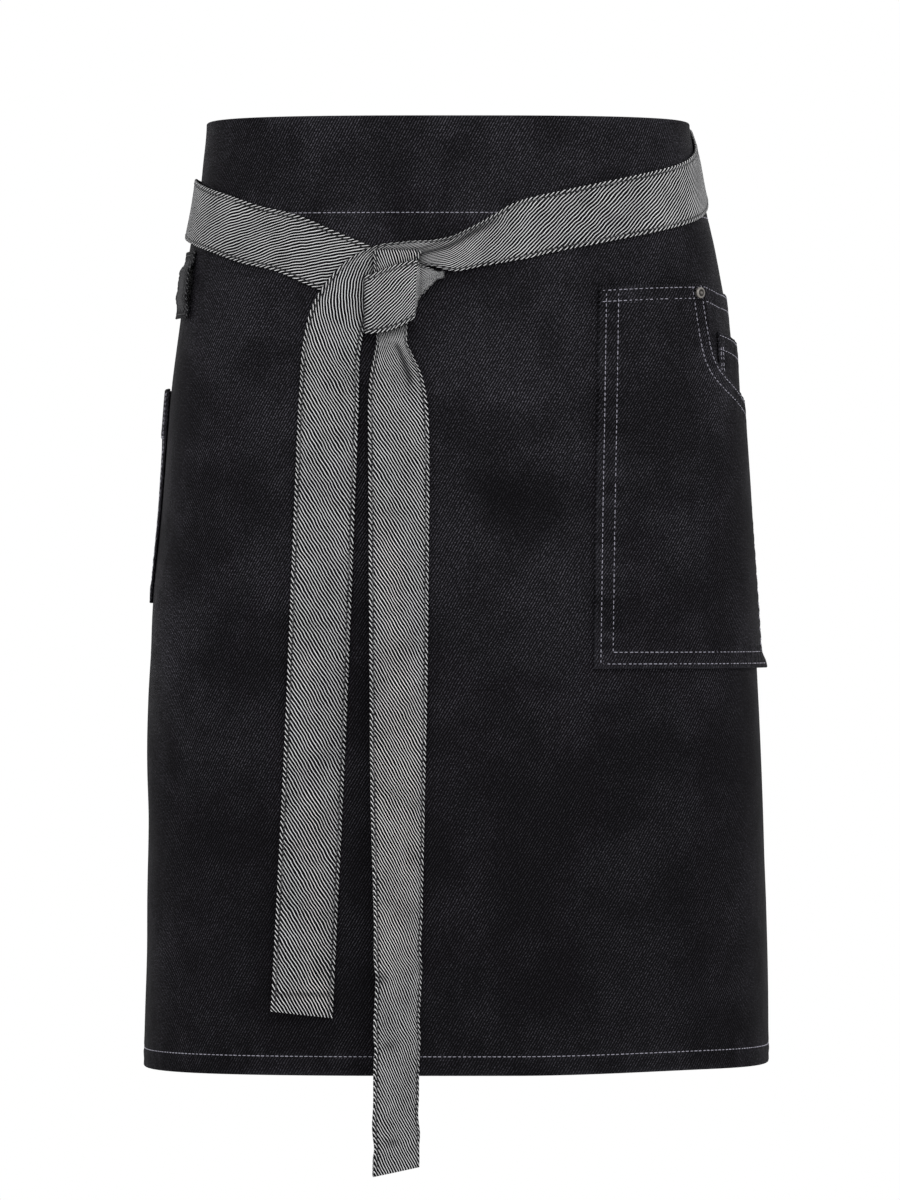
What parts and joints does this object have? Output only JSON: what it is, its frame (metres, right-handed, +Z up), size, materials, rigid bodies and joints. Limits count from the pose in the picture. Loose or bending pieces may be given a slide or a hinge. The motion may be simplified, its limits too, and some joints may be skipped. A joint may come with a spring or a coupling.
{
  "type": "waist apron",
  "caption": "Worn denim waist apron: a panel wrapped round the hips, two twill ties knotted in front with hanging tails, a scooped pocket, a side pocket and a tool loop.",
  "frame": {"origin": "centre of the waist opening at the height of the ties", "axes": "+Z up, -Y to the front of the wearer, +X to the right in a front view"},
  "size_m": [0.4009, 0.2664, 0.66],
  "materials": {
    "denim": "coated near-black twill denim",
    "twill_tie": "black and white diagonal twill tape",
    "rivet_metal": "aged dark nickel"
  },
  "bodies": {
    "root": {"apron_panel": "denim", "tie_left": "twill_tie", "tie_right": "twill_tie", "pocket_right_back": "denim", "pocket_right_front": "denim", "coin_pocket": "denim", "rivet": "rivet_metal", "pocket_left": "denim", "tool_loop": "twill_tie"}
  },
  "joints": []
}
